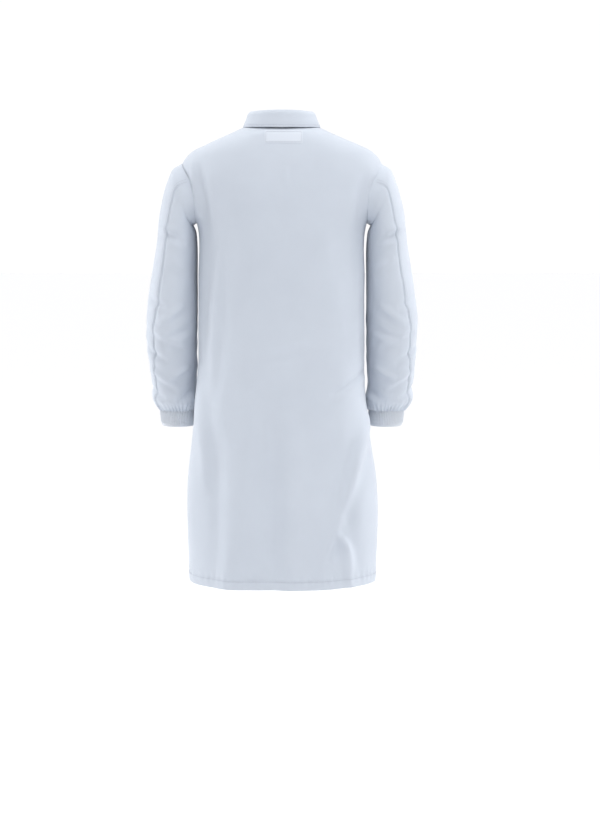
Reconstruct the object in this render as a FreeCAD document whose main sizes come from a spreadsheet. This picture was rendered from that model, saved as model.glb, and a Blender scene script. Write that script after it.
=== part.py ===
"""Lab coat with a laydown collar, two-piece sleeves, knit cuffs and a snap front.

Millimetres.  The coat hangs as it is worn: +Z is up, -Y is the front, +X is the wearer's left.
The origin is the middle of the neck seam at the back.  Every cloth layer is a loft through the
same rings, made larger or smaller by its place in the stack, so layers lie face to face.
"""
import FreeCAD, Part
import math
import os
from FreeCAD import Placement, Rotation, Vector

# The driving sizes. Each becomes a cell of the sheet, under the same name.
SIZES = {
    # body rings: half width across, then height and place of the ring at the back and at the front
    "neck_width": 76, "neck_back_y": 65, "neck_back_z": 0, "neck_front_y": -64, "neck_front_z": -62,
    "slope_width": 140, "slope_back_y": 88, "slope_back_z": -22, "slope_front_y": -88, "slope_front_z": -74,
    "point_width": 196, "point_back_y": 104, "point_back_z": -55, "point_front_y": -112, "point_front_z": -88,
    "yoke_width": 222, "yoke_back_y": 114, "yoke_back_z": -88, "yoke_front_y": -125, "yoke_front_z": -100,
    "scye_width": 212, "scye_back_y": 124, "scye_back_z": -150, "scye_front_y": -125, "scye_front_z": -150,
    "chest_width": 187, "chest_back_y": 132, "chest_back_z": -225, "chest_front_y": -125, "chest_front_z": -225,
    "waist_width": 187, "waist_back_y": 137, "waist_back_z": -450, "waist_front_y": -125, "waist_front_z": -450,
    "hip_width": 190, "hip_back_y": 146, "hip_back_z": -660, "hip_front_y": -125, "hip_front_z": -660,
    "thigh_width": 214, "thigh_back_y": 152, "thigh_back_z": -800, "thigh_front_y": -125, "thigh_front_z": -800,
    "hem_width": 208, "hem_back_y": 156, "hem_back_z": -1025, "hem_front_y": -125, "hem_front_z": -1025,
    # collar rings, in the same form
    "stand_foot_width": 74.5, "stand_foot_back_y": 63.6, "stand_foot_back_z": 0.6,
    "stand_foot_front_y": -62.6, "stand_foot_front_z": -60,
    "stand_top_width": 67, "stand_top_back_y": 56, "stand_top_back_z": 33,
    "stand_top_front_y": -56, "stand_top_front_z": -30,
    "fall_top_width": 70, "fall_top_back_y": 59.5, "fall_top_back_z": 35,
    "fall_top_front_y": -59.5, "fall_top_front_z": -27,
    "fall_edge_width": 86, "fall_edge_back_y": 74, "fall_edge_back_z": 1,
    "fall_edge_front_y": -80, "fall_edge_front_z": -58,
    # left sleeve rings: the point by the body, the point away from it, the middle and half depth
    "armpit_in_x": 160, "armpit_in_z": -200, "armpit_out_x": 170, "armpit_out_z": -100,
    "armpit_mid_y": -3, "armpit_depth": 62,
    "scap_in_x": 197, "scap_in_z": -224, "scap_out_x": 238, "scap_out_z": -106,
    "scap_mid_y": -5, "scap_depth": 69,
    "arc_in_x": 193, "arc_in_z": -231, "arc_out_x": 264, "arc_out_z": -155,
    "arc_mid_y": -9, "arc_depth": 76,
    "bicep_in_x": 190.5, "bicep_in_z": -236, "bicep_out_x": 284, "bicep_out_z": -236,
    "bicep_mid_y": -12, "bicep_depth": 80,
    "crook_in_x": 190.5, "crook_in_z": -380, "crook_out_x": 303, "crook_out_z": -380,
    "crook_mid_y": -20, "crook_depth": 74,
    "elbow_in_x": 191, "elbow_in_z": -450, "elbow_out_x": 308, "elbow_out_z": -450,
    "elbow_mid_y": -24, "elbow_depth": 73,
    "fore_in_x": 193, "fore_in_z": -520, "fore_out_x": 303, "fore_out_z": -520,
    "fore_mid_y": -33, "fore_depth": 66,
    "wrist_in_x": 196.5, "wrist_in_z": -615, "wrist_out_x": 294, "wrist_out_z": -615,
    "wrist_mid_y": -46, "wrist_depth": 57,
    "gather_in_x": 197, "gather_in_z": -640, "gather_out_x": 282, "gather_out_z": -640,
    "gather_mid_y": -48, "gather_depth": 47,
    "cuff_top_in_x": 199.3, "cuff_top_in_z": -632, "cuff_top_out_x": 279.7, "cuff_top_out_z": -632,
    "cuff_top_mid_y": -48, "cuff_top_depth": 44.6,
    "cuff_edge_in_x": 197.5, "cuff_edge_in_z": -680, "cuff_edge_out_x": 276.5, "cuff_edge_out_z": -680,
    "cuff_edge_mid_y": -50, "cuff_edge_depth": 43,
    # cloth layers, outwards from the body panels' outer face
    "panel_cloth": 2, "strip_cloth": 1.5, "facing_cloth": 1.2, "label_cloth": 0.8, "collar_cloth": 1.2,
    "sleeve_cloth": 2, "knit_cloth": 2.4, "ease": 0.6, "skirt_lift": 1.5,
    # front opening, hinge line of the skirts, hems
    "strip_half": 19, "front_edge": 8, "facing_edge": 22, "facing_end": 72,
    "fold_level": -450, "fold_line": 160, "fold_gap": 1.5, "side_gap": 3, "fold_slit": 0.6,
    "hem_depth": 22, "reach": 400,
    # pockets: cloth stands off the body to leave room for a hand
    "pocket_room": 10, "pocket_cloth": 1.5,
    "chest_pocket_in": 48, "chest_pocket_out": 152, "chest_pocket_top": -190, "chest_pocket_foot": -312,
    "hip_pocket_in": 30, "hip_pocket_out": 150, "hip_pocket_top": -535, "hip_pocket_foot": -715,
    # neck pieces
    "label_half": 42, "label_shift": -5, "label_top": -9, "label_foot": -37,
    "facing_back_y": 20, "facing_foot": -48, "collar_gap": 9,
    "loop_half": 30, "loop_drop": 22, "loop_tape": 5, "loop_cloth": 1.2, "loop_y": 57.4, "loop_z": -6,
    # snaps: cap, socket, stud and back ring
    "front_face": -125, "snap_first": -115, "snap_pitch": 135, "snap_seat": 0.1,
    "cap_wide": 5.8, "cap_narrow": 4.4, "cap_height": 1.5,
    "socket_radius": 5, "socket_bore": 2.1, "socket_height": 1.1,
    "stud_radius": 5, "stud_base": 0.4, "stud_post": 1.9, "stud_height": 1.4,
    "ring_radius": 5, "ring_bore": 1.6, "ring_height": 0.8,
}

BODY_RINGS = ("neck", "slope", "point", "yoke", "scye", "chest", "waist", "hip", "thigh", "hem")
CAP_RINGS = ("armpit", "scap", "arc", "bicep")
UPPER_RINGS = ("bicep", "crook")
ELBOW_RINGS = ("crook", "elbow", "fore")
FORE_RINGS = ("fore", "wrist", "gather")
CUFF_RINGS = ("cuff_top", "cuff_edge")
SNAPS_IN_HALF = 3

doc = FreeCAD.newDocument("lab_coat")
sheet = doc.addObject("Spreadsheet::Sheet", "sizes")
for row, (alias, value) in enumerate(SIZES.items(), start=1):
    sheet.set("A%d" % row, alias)
    sheet.set("B%d" % row, str(value))
    sheet.setAlias("B%d" % row, alias)
doc.recompute()

pieces = []


def size(alias):
    """The sheet's value under an alias."""
    return float(sheet.get(alias))


def cells(expression):
    """An expression in which each known alias reads its cell of the sheet."""
    words = []
    for word in expression.split():
        bare = word.strip("()")
        words.append(word.replace(bare, "sizes." + bare) if bare in SIZES else word)
    return " ".join(words)


def bind(thing, **expressions):
    """Bind properties to the sheet; a double underscore stands for a dot in a property's path."""
    for path, expression in expressions.items():
        thing.setExpression(path.replace("__", "."), cells(expression))
    return thing


def piece(label, thing):
    """Give a finished object its own label and keep it as a sub-part."""
    thing.Label = label
    pieces.append(thing)
    return thing


def boolean(kind, name, first, second):
    """A cut, common or fuse of two objects."""
    result = doc.addObject("Part::" + kind, name)
    result.Base = first
    result.Tool = second
    return result


def cut(name, first, *tools):
    """An object with each tool taken away in turn."""
    for number, tool in enumerate(tools):
        first = boolean("Cut", "%s_cut_%d" % (name, number), first, tool)
    return first


def common(name, first, *tools):
    """What an object shares with each tool in turn."""
    for number, tool in enumerate(tools):
        first = boolean("Common", "%s_part_%d" % (name, number), first, tool)
    return first


def block(name, x, y, z):
    """A box between two bounds on each axis, given as expressions."""
    box = doc.addObject("Part::Box", name)
    for side, axis, (low, high) in zip(("Length", "Width", "Height"), "xyz", (x, y, z)):
        box.setExpression(side, cells("( %s ) - ( %s )" % (high, low)))
        box.setExpression("Placement.Base." + axis, cells(low))
    return box


def mirror(label, source):
    """The same piece on the wearer's right."""
    twin = doc.addObject("Part::Mirroring", label)
    twin.Source = source
    twin.Normal = Vector(1, 0, 0)
    return piece(label, twin)


def body_ring(name, station, grow):
    """An ellipse round the body or neck, tilted when its back is higher than its front."""
    ring = doc.addObject("Part::Ellipse", name)
    back_y, back_z = station + "_back_y", station + "_back_z"
    front_y, front_z = station + "_front_y", station + "_front_z"
    ring.Placement = Placement(Vector(), Rotation(Vector(1, 0, 0), 1))
    across = "pow( ( %s - %s ) ; 2 )" % (back_y, front_y)
    up = "pow( ( %s - %s ) ; 2 )" % (back_z, front_z)
    bind(ring,
         MajorRadius="%s_width + ( %s )" % (station, grow),
         MinorRadius="sqrt( %s + %s ) / 2 + ( %s )" % (across, up, grow),
         Placement__Base__y="( %s + %s ) / 2" % (back_y, front_y),
         Placement__Base__z="( %s + %s ) / 2" % (back_z, front_z),
         Placement__Rotation__Angle="atan2( %s - %s ; %s - %s )" % (back_z, front_z, back_y, front_y))
    return ring


def sleeve_ring(name, station, grow):
    """An ellipse round the left arm, from a point by the body to a point away from it."""
    ring = doc.addObject("Part::Ellipse", name)
    in_x, in_z = station + "_in_x", station + "_in_z"
    out_x, out_z = station + "_out_x", station + "_out_z"
    rise = math.degrees(math.atan2(size(out_z) - size(in_z), size(out_x) - size(in_x)))
    turn = Rotation(Vector(0, 0, 1), 90) * Rotation(Vector(1, 0, 0), -rise)
    ring.Placement = Placement(Vector(), turn)
    across = "pow( ( %s - %s ) ; 2 )" % (out_x, in_x)
    up = "pow( ( %s - %s ) ; 2 )" % (out_z, in_z)
    bind(ring,
         MajorRadius="%s_depth + ( %s )" % (station, grow),
         MinorRadius="sqrt( %s + %s ) / 2 + ( %s )" % (across, up, grow),
         Placement__Base__x="( %s + %s ) / 2" % (in_x, out_x),
         Placement__Base__y=station + "_mid_y",
         Placement__Base__z="( %s + %s ) / 2" % (in_z, out_z))
    return ring


def loft(name, make_ring, stations, grow):
    """A solid through rings at the given stations, each grown by the same amount."""
    solid = doc.addObject("Part::Loft", name)
    solid.Sections = [make_ring("%s_%s" % (name, station), station, grow) for station in stations]
    solid.Solid = True
    solid.Ruled = True
    return solid


body_faces = {}


def body_face(grow):
    """The solid inside the body cloth's face at one place in the stack, made once for each place."""
    if grow not in body_faces:
        body_faces[grow] = loft("body_face_%d" % len(body_faces), body_ring, BODY_RINGS, grow)
    return body_faces[grow]


def body_layer(name, outer, inner):
    """Cloth round the whole body between two places in the stack."""
    return cut(name, body_face(outer), body_face(inner))


def sleeve_layer(name, stations, outer="0", inner="0 - sleeve_cloth"):
    """Cloth round the arm between two places in the stack."""
    return cut(name, loft(name + "_face", sleeve_ring, stations, outer),
               loft(name + "_hollow", sleeve_ring, stations, inner))


def joined(label, things):
    """Like pieces that share one node."""
    group = doc.addObject("Part::Compound", label)
    group.Links = things
    return piece(label, group)


ALL = ("0 - reach", "reach")
BACK = ("0", "reach")
FRONT = ("0 - reach", "0")
DOWN = "hem_back_z - reach"


def front_block(name, side, inner_x, outer_x, z):
    """A box in front of the body on one side, from one distance off the middle to another."""
    x = (inner_x, outer_x) if side > 0 else ("0 - ( %s )" % outer_x, "0 - ( %s )" % inner_x)
    return block(name, x, FRONT, z)


def make_armholes():
    """The hollows of both sleeve caps, which open the body cloth where the arms go through."""
    left = loft("left_armhole", sleeve_ring, CAP_RINGS, "0 - sleeve_cloth")
    right = doc.addObject("Part::Mirroring", "right_armhole")
    right.Source = left
    right.Normal = Vector(1, 0, 0)
    return left, right


def make_body(armholes):
    """The back panel, the upper front panels with the side strips, and the back hem."""
    cloth = body_layer("cloth", "0", "0 - panel_cloth")
    back = common("back", cloth, block("back_half", ("0 - reach", "0"), BACK, (DOWN, "reach")))
    right_back = cut("right_back", back, armholes[1])
    left_back = doc.addObject("Part::Mirroring", "left_back")
    left_back.Source = right_back
    left_back.Normal = Vector(1, 0, 0)
    piece("back_panel", boolean("Fuse", "whole_back", right_back, left_back))
    front = common("right_front", cloth,
                   front_block("right_half", -1, "front_edge", "reach", (DOWN, "reach")))
    skirt = front_block("right_skirt_room", -1, "0", "fold_line + side_gap", (DOWN, "fold_level"))
    right = piece("right_front_panel", cut("right_front_open", front, armholes[1], skirt))
    mirror("left_front_panel", right)
    lining = body_layer("hem_layer", "0 - panel_cloth", "0 - panel_cloth - facing_cloth")
    band = block("hem_band", ALL, ALL, ("hem_back_z - 1", "hem_back_z + hem_depth"))
    front_gap = block("hem_front_gap", ("0 - ( fold_line + side_gap )", "fold_line + side_gap"),
                      FRONT, (DOWN, "reach"))
    piece("back_hem", cut("back_hem_open", common("back_hem_band", lining, band), front_gap))


def make_fronts():
    """The strips that carry the snaps and the facings behind them, above the fold level."""
    over = body_layer("over_strip", "strip_cloth", "0")
    under = body_layer("under_strip", "0 - panel_cloth", "0 - panel_cloth - strip_cloth")
    lining = body_layer("front_lining", "0 - panel_cloth", "0 - panel_cloth - facing_cloth")
    above = ("fold_level + fold_slit", "yoke_front_z")
    strip = block("strip_room", ("0 - strip_half", "strip_half"), FRONT, above)
    piece("left_placket", common("left_placket", over, strip))
    piece("right_placket", common("right_placket", under, strip))
    facing_room = front_block("facing_room", 1, "facing_edge", "facing_end", above)
    left = piece("left_front_facing", common("left_facing", lining, facing_room))
    mirror("right_front_facing", left)


def make_skirt(word, side, lift):
    """One lower front, which swings open: its panel, snap strip, hem and hip pocket."""
    below = (DOWN, "fold_level - fold_slit")
    outer = "%s + 0" % lift
    inner = "%s - panel_cloth" % lift
    panel = body_layer(word + "_skirt_cloth", outer, inner)
    room = front_block(word + "_skirt_room_below", side, "front_edge", "fold_line - fold_gap", below)
    piece(word + "_front_skirt", common(word + "_skirt_panel", panel, room))
    if side > 0:
        strip = body_layer(word + "_skirt_strip", "%s + strip_cloth" % lift, outer)
    else:
        strip = body_layer(word + "_skirt_strip", inner, inner + " - strip_cloth")
    strip_room = block(word + "_skirt_strip_room", ("0 - strip_half", "strip_half"), FRONT, below)
    piece(word + "_skirt_placket", common(word + "_skirt_strip_part", strip, strip_room))
    lining = body_layer(word + "_skirt_lining", inner, inner + " - facing_cloth")
    band = front_block(word + "_skirt_band", side, "facing_edge", "fold_line - fold_gap",
                       ("hem_back_z - 1", "hem_back_z + hem_depth"))
    piece(word + "_skirt_hem", common(word + "_skirt_hem_part", lining, band))
    make_pocket(word + "_hip_pocket", side, outer, "hip_pocket")


def make_pocket(label, side, base, name):
    """A patch pocket: cloth in front of the panel, closed at its sides and foot, open at its top."""
    hand = "%s + pocket_room" % base
    solid = body_layer(label + "_solid", hand + " + pocket_cloth", base)
    hollow = body_layer(label + "_hollow", hand, base)
    outside = front_block(label + "_outside", side, name + "_in", name + "_out",
                          (name + "_foot", name + "_top"))
    inside = front_block(label + "_inside", side, name + "_in + pocket_cloth",
                         name + "_out - pocket_cloth", (name + "_foot + pocket_cloth", "reach"))
    piece(label, cut(label + "_open", common(label + "_block", solid, outside),
                     common(label + "_room", hollow, inside)))


def make_collar():
    """The stand inside, and the fall over it in two layers, all open at the front."""
    front_gap = block("collar_front_gap", ("0 - collar_gap", "collar_gap"), FRONT, ALL)
    stand_rings = ("stand_foot", "stand_top")
    fall_rings = ("fall_top", "fall_edge")
    layers = (
        ("collar_stand", stand_rings, "0", "0 - collar_cloth"),
        ("under_collar", fall_rings, "0", "0 - collar_cloth"),
        ("upper_collar", fall_rings, "collar_cloth", "0"),
    )
    for label, rings, outer, inner in layers:
        solid = loft(label + "_face", body_ring, rings, outer)
        hollow = loft(label + "_hollow", body_ring, rings, inner)
        piece(label, cut(label, solid, hollow, front_gap))


def make_neck():
    """The facing inside the back neck, the label patch outside it and the tape loop to hang it by."""
    lining = body_layer("neck_lining", "0 - panel_cloth", "0 - panel_cloth - facing_cloth")
    piece("back_neck_facing", common("neck_facing", lining, block(
        "neck_facing_room", ("0 - scye_width", "scye_width"), ("facing_back_y", "reach"),
        ("facing_foot", "reach"))))
    patch = body_layer("label_layer", "label_cloth", "0")
    piece("neck_label", common("label_part", patch, block(
        "label_room", ("label_shift - label_half", "label_shift + label_half"), BACK,
        ("label_foot", "label_top"))))
    half = "loop_cloth / 2"
    tape = block("loop_tape_outside", ("0 - loop_half", "loop_half"),
                 ("loop_y - " + half, "loop_y + " + half), ("loop_z - loop_drop", "loop_z"))
    eye = block("loop_eye", ("loop_tape - loop_half", "loop_half - loop_tape"),
                ("loop_y - loop_cloth", "loop_y + loop_cloth"),
                ("loop_z - loop_drop + loop_tape", "loop_z - loop_tape"))
    piece("hanger_loop", cut("hanger_loop", tape, eye))


def make_sleeves():
    """The left sleeve from cap to knit cuff, and its twin on the right."""
    outer_half = block("outer_half", ("( bicep_in_x + bicep_out_x ) / 2", "reach"), ALL, (DOWN, "reach"))
    body = body_face("ease")
    cap = sleeve_layer("cap", CAP_RINGS)
    piece("left_sleeve_cap", cut("cap_trim", cap, body))
    elbow = block("elbow_room", ALL, ALL, ("fore_in_z + ease", "crook_in_z - ease"))
    piece("left_elbow_fold", common("elbow_fold", sleeve_layer("elbow_cloth", ELBOW_RINGS), elbow))
    below_cap = block("below_cap", ALL, ALL, (DOWN, "bicep_in_z - ease"))
    upper = common("upper_sleeve", sleeve_layer("upper_cloth", UPPER_RINGS), below_cap)
    fore = sleeve_layer("fore_cloth", FORE_RINGS)
    for place, tube in (("upper", upper), ("fore", fore)):
        piece("left_%s_sleeve_outer" % place, common(place + "_outer_half", tube, outer_half))
        piece("left_%s_sleeve_under" % place, cut(place + "_under_half", tube, outer_half))
    cuff = sleeve_layer("knit", CUFF_RINGS, "0", "0 - knit_cloth")
    piece("left_knit_cuff", cuff)
    for thing in [made for made in pieces if made.Label.startswith("left_") and is_sleeve(made)]:
        mirror(thing.Label.replace("left_", "right_"), thing)


def is_sleeve(thing):
    """Whether a piece belongs to the sleeve rather than to the left front."""
    return any(word in thing.Label for word in ("sleeve", "elbow", "cuff"))


def disc(name, radius, height, face, level):
    """A round piece with its back on a face of the front opening, standing out forwards."""
    solid = doc.addObject("Part::Cylinder", name)
    bind(solid, Radius=radius, Height=height)
    return place_on_front(solid, face, level)


def place_on_front(solid, face, level):
    """Turn a round piece to point forwards and put it on the middle line at a snap's height."""
    solid.Placement = Placement(Vector(), Rotation(Vector(1, 0, 0), 90))
    bind(solid, Placement__Base__y=face, Placement__Base__z=level)
    return solid


def make_snaps(half, first, lift):
    """The snaps of one half of the front: four kinds of piece, one node each."""
    left_in = "front_face - %s" % lift
    right_out = "front_face + panel_cloth"
    right_in = right_out + " + strip_cloth"
    caps, sockets, studs, rings = [], [], [], []
    for number in range(first, first + SNAPS_IN_HALF):
        level = "snap_first - snap_pitch * %d" % number
        cap = doc.addObject("Part::Cone", "cap_%d" % number)
        bind(cap, Radius1="cap_wide", Radius2="cap_narrow", Height="cap_height")
        caps.append(place_on_front(cap, left_in + " - strip_cloth - snap_seat", level))
        socket_face = left_in + " + snap_seat + socket_height"
        socket = disc("socket_%d" % number, "socket_radius", "socket_height", socket_face, level)
        bore = disc("bore_%d" % number, "socket_bore", "socket_height", socket_face, level)
        sockets.append(cut("open_socket_%d" % number, socket, bore))
        stud_face = right_out + " - snap_seat"
        base = disc("base_%d" % number, "stud_radius", "stud_base", stud_face, level)
        post = disc("post_%d" % number, "stud_post", "stud_height", stud_face, level)
        studs.append(boolean("Fuse", "stud_%d" % number, base, post))
        ring_face = right_in + " + snap_seat + ring_height"
        ring = disc("ring_%d" % number, "ring_radius", "ring_height", ring_face, level)
        eye = disc("eye_%d" % number, "ring_bore", "ring_height", ring_face, level)
        rings.append(cut("open_ring_%d" % number, ring, eye))
    joined("snap_caps_" + half, caps)
    joined("snap_sockets_" + half, sockets)
    joined("snap_studs_" + half, studs)
    joined("snap_rings_" + half, rings)


def write_parts():
    """Check every object, then write each sub-part under its label."""
    doc.recompute()
    failed = [thing.Name for thing in doc.Objects if {"Invalid", "Error"} & set(thing.State)]
    if failed:
        raise RuntimeError("failed objects: " + ", ".join(failed))
    os.makedirs("parts", exist_ok=True)
    for thing in pieces:
        shape = thing.Shape
        if shape.isNull() or not shape.isValid() or not shape.Solids:
            raise RuntimeError("bad shape: " + thing.Label)
    for thing in pieces:
        thing.Shape.exportStep(os.path.join("parts", thing.Label + ".step"))
        print("%-28s %10.0f mm3 %3d solids" % (thing.Label, thing.Shape.Volume, len(thing.Shape.Solids)))


make_body(make_armholes())
make_fronts()
make_pocket("chest_pocket", 1, "0", "chest_pocket")
make_skirt("left", 1, "skirt_lift")
make_skirt("right", -1, "0")
make_collar()
make_neck()
make_sleeves()
make_snaps("upper", 0, "0")
make_snaps("lower", SNAPS_IN_HALF, "skirt_lift")
write_parts()
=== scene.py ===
"""A knee-length lab coat: cloth, knit cuffs, stitching and a plain studio round its fixed frame."""
import math

import bpy
import numpy as np
from bpy.props import FloatProperty, FloatVectorProperty, IntProperty, PointerProperty
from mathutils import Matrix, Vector, noise
from mathutils.bvhtree import BVHTree


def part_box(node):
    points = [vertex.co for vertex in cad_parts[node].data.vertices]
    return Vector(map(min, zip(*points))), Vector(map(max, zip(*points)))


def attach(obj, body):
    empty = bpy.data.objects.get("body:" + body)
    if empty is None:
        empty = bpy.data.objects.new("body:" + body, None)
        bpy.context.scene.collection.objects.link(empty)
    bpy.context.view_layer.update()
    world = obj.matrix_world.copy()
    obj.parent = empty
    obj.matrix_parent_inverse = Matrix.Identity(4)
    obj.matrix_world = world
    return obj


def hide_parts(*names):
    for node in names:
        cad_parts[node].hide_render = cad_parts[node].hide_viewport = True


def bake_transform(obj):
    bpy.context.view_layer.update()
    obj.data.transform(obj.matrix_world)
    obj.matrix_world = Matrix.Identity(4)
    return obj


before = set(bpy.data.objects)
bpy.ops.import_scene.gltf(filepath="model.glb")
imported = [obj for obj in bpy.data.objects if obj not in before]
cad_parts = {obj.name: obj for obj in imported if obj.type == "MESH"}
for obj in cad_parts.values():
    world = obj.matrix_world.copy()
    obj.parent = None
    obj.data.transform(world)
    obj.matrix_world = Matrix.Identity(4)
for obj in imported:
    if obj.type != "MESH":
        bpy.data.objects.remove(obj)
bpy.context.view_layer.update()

bl_info = {
    "name": "Lab Coat",
    "version": (1, 0, 0),
    "blender": (4, 5, 0),
    "location": "View3D > Sidebar > Lab Coat",
    "description": "Builds the cloth, cuffs, collar, pockets, stitching and stage of a lab coat",
    "category": "Add Mesh",
}

HEM_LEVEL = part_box("back_panel")[0][2]
CUFF_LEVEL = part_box("left_knit_cuff")[0][2]
FOLD_TOP, FOLD_FOOT = -0.395, -0.515

# Rings round the body: half width; place and height at the back, at the front; height at the side.
BODY_RINGS = (
    (0.078, 0.063, -0.002, -0.066, -0.066, 0.000),
    (0.124, 0.079, -0.011, -0.086, -0.078, -0.021),
    (0.168, 0.092, -0.031, -0.104, -0.092, -0.0405),
    (0.205, 0.104, -0.060, -0.119, -0.106, -0.060),
    (0.225, 0.113, -0.097, -0.125, -0.122, -0.090),
    (0.213, 0.123, -0.150, -0.125, -0.150, -0.150),
    (0.188, 0.131, -0.225, -0.125, -0.225, -0.225),
    (0.187, 0.134, -0.340, -0.125, -0.340, -0.340),
    (0.188, 0.137, -0.450, -0.125, -0.450, -0.450),
    (0.190, 0.143, -0.600, -0.125, -0.600, -0.600),
    (0.199, 0.147, -0.680, -0.125, -0.680, -0.680),
    (0.213, 0.151, -0.800, -0.125, -0.800, -0.800),
    (0.213, 0.154, -0.930, -0.125, -0.930, -0.930),
    (0.209, 0.156, HEM_LEVEL, -0.125, HEM_LEVEL, HEM_LEVEL),
)
# Rings round the collar, from the neck seam up the stand, over the roll and down the fall.
COLLAR_RINGS = (
    (0.0775, 0.0620, 0.000, -0.0655, -0.062, 0.002),
    (0.0705, 0.0575, 0.018, -0.0620, -0.040, 0.017),
    (0.0680, 0.0560, 0.032, -0.0600, -0.024, 0.028),
    (0.0695, 0.0580, 0.0362, -0.0615, -0.020, 0.0315),
    (0.0735, 0.0625, 0.0330, -0.0660, -0.025, 0.0285),
    (0.0795, 0.0690, 0.0170, -0.0750, -0.048, 0.0150),
    (0.0865, 0.0745, -0.0015, -0.0870, -0.082, -0.0020),
)
# Rings round the left arm: the point by the body, the point away from it, middle and half depth.
ARM_RINGS = (
    (0.2005, -0.2215, 0.2470, -0.1040, -0.004, 0.0680),
    (0.1960, -0.2290, 0.2620, -0.1400, -0.006, 0.0720),
    (0.1930, -0.2370, 0.2725, -0.1850, -0.009, 0.0760),
    (0.1915, -0.2500, 0.2790, -0.2350, -0.012, 0.0780),
    (0.1905, -0.3050, 0.2895, -0.3050, -0.016, 0.0770),
    (0.1905, -0.3800, 0.3015, -0.3800, -0.020, 0.0740),
    (0.1910, -0.4500, 0.3075, -0.4500, -0.026, 0.0720),
    (0.1925, -0.5250, 0.3035, -0.5250, -0.035, 0.0650),
    (0.1950, -0.5900, 0.2960, -0.5900, -0.043, 0.0580),
    (0.1945, -0.6280, 0.2875, -0.6280, -0.047, 0.0520),
    (0.1985, -0.6420, 0.2795, -0.6420, -0.048, 0.0450),
)
# The armhole seam's top and foot, its middle and half depth, and the smaller hole in the cloth.
ARMHOLE_TOP, ARMHOLE_FOOT = -0.084, -0.217
ARMHOLE_Y, ARMHOLE_Z = -0.005, (ARMHOLE_TOP + ARMHOLE_FOOT) / 2
ARMHOLE_DEPTH = 0.0660
HOLE_DEPTH, HOLE_HEIGHT, HOLE_FROM_X = 0.058, 0.056, 0.15
# Where the elbow ramp down the sleeve starts, and over what length.
ELBOW_TOP, ELBOW_LENGTH = -0.385, 0.13
# The front opening: its top, half of each snap band, and where its stitches run.
OPENING_TOP, BAND_HALF, BAND_STITCH = -0.126, 0.0185, 0.0150
FACING_EDGE, FACING_END = 0.022, 0.072
FRONT_EDGE = 0.019
FACING_CLOTH, BAND_CLOTH, COLLAR_CLOTH, TAPE_CLOTH = 0.0006, 0.0012, 0.0014, 0.0010
BODY_SEED = 1.0
# Lamps: name, place, size and power.
LAMPS = (
    ("left_wash", (3.0, -1.1, 0.0), 1.2, 40),
    ("right_wash", (-3.0, -1.1, 0.0), 1.2, 36),
    ("back_fill", (-2.6, 2.0, 1.4), 0.8, 10),
    ("top_wash", (-0.3, 1.1, 2.6), 1.0, 20),
)
ARM_SPLIT = -0.305

# Folds on the back: across, height at one end, the same at the other, half width and rise.
BACK_FOLDS = (
    (0.134, -0.230, 0.161, -0.610, 0.011, 0.0052),
    (0.186, -0.530, 0.172, -0.820, 0.014, 0.0080),
    (-0.202, -0.540, -0.108, -0.594, 0.008, -0.0052),
    (-0.206, -0.625, -0.100, -0.960, 0.015, 0.0115),
    (-0.160, -0.690, -0.118, -0.985, 0.020, -0.0075),
    (-0.138, -0.860, -0.158, -1.040, 0.013, 0.0085),
    (-0.122, -0.890, -0.152, -0.945, 0.008, 0.0045),
    (0.197, -0.070, 0.188, -0.215, 0.008, 0.0062),
    (-0.222, -0.105, -0.196, -0.190, 0.008, 0.0060),
    (0.178, -0.080, 0.168, -0.260, 0.012, -0.0048),
    (-0.186, -0.090, -0.170, -0.270, 0.012, -0.0048),
    (-0.009, -0.085, -0.012, -0.135, 0.006, 0.0020),
    (0.030, -0.060, 0.060, -0.320, 0.030, 0.0026),
    (-0.070, -0.110, -0.115, -0.440, 0.032, 0.0030),
    (0.060, -0.560, 0.098, -1.060, 0.026, 0.0068),
    (-0.015, -0.600, -0.050, -1.060, 0.032, 0.0058),
    (0.012, -0.660, 0.022, -1.060, 0.024, -0.0050),
    (0.138, -0.660, 0.150, -1.060, 0.022, -0.0075),
    (-0.088, -0.478, 0.062, -0.506, 0.012, 0.0018),
    (-0.176, -0.300, -0.160, -0.530, 0.013, 0.0042),
    (0.160, -0.330, 0.176, -0.520, 0.010, -0.0032),
)
FRONT_FOLDS = (
    (0.110, -0.180, 0.150, -0.520, 0.018, 0.0030),
    (-0.115, -0.170, -0.150, -0.500, 0.018, 0.0030),
    (0.130, -0.640, 0.150, -1.058, 0.022, 0.0040),
    (-0.125, -0.640, -0.140, -1.058, 0.022, 0.0040),
    (0.075, -0.740, 0.080, -1.058, 0.020, -0.0030),
    (-0.080, -0.740, -0.070, -1.058, 0.020, -0.0030),
)
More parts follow.
